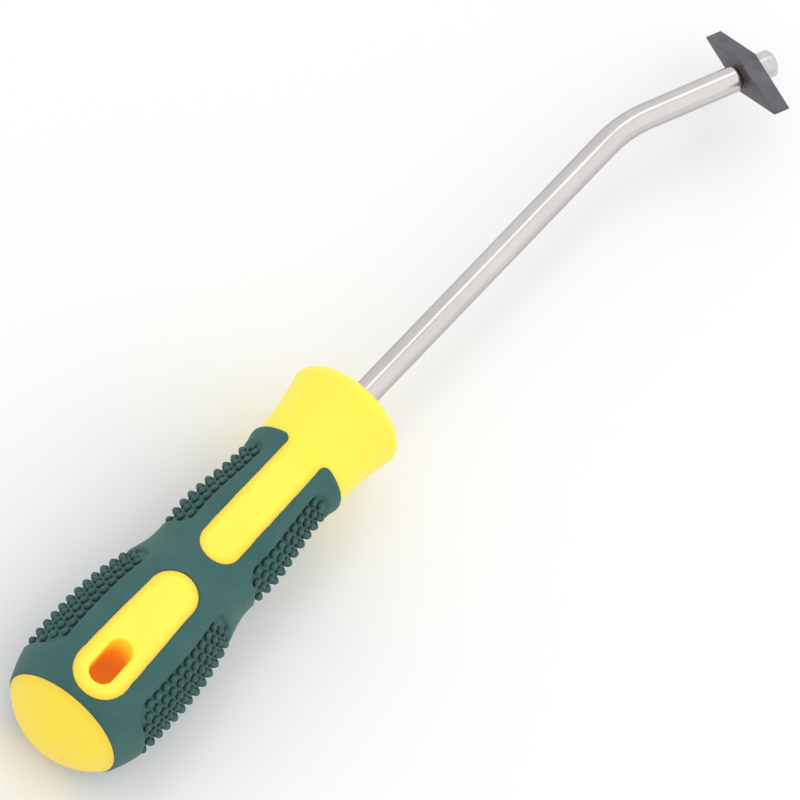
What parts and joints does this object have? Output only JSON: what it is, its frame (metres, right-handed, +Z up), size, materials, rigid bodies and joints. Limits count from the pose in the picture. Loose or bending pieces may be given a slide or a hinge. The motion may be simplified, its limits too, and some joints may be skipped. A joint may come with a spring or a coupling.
{
  "type": "tile joint scraper",
  "caption": "Hand scraper for tile joints: rhombic hard-metal blade across the end of a bent round rod, in a studded two-colour handle with a hanging slot.",
  "frame": {"origin": "middle of the hanging slot, on the handle's axis", "axes": "+X along the handle and the rod towards the blade, +Z up out of the palm window, the rod bends towards -Y"},
  "size_m": [0.2415, 0.0447, 0.035],
  "materials": {
    "yellow_plastic": "smooth moulded polypropylene, satin",
    "green_grip": "soft matt thermoplastic rubber",
    "rod_steel": "bright nickel-plated bar with fine draw lines",
    "hard_metal": "as-sintered tungsten carbide, dull grey",
    "cap_steel": "turned steel, bright",
    "braze": "dull heat-tinted braze metal"
  },
  "bodies": {
    "root": {"handle_core": "yellow_plastic", "grip_sleeve": "green_grip", "shaft": "rod_steel", "scraper_blade": "hard_metal", "end_cap": "cap_steel", "braze_collar": "braze"}
  },
  "joints": []
}
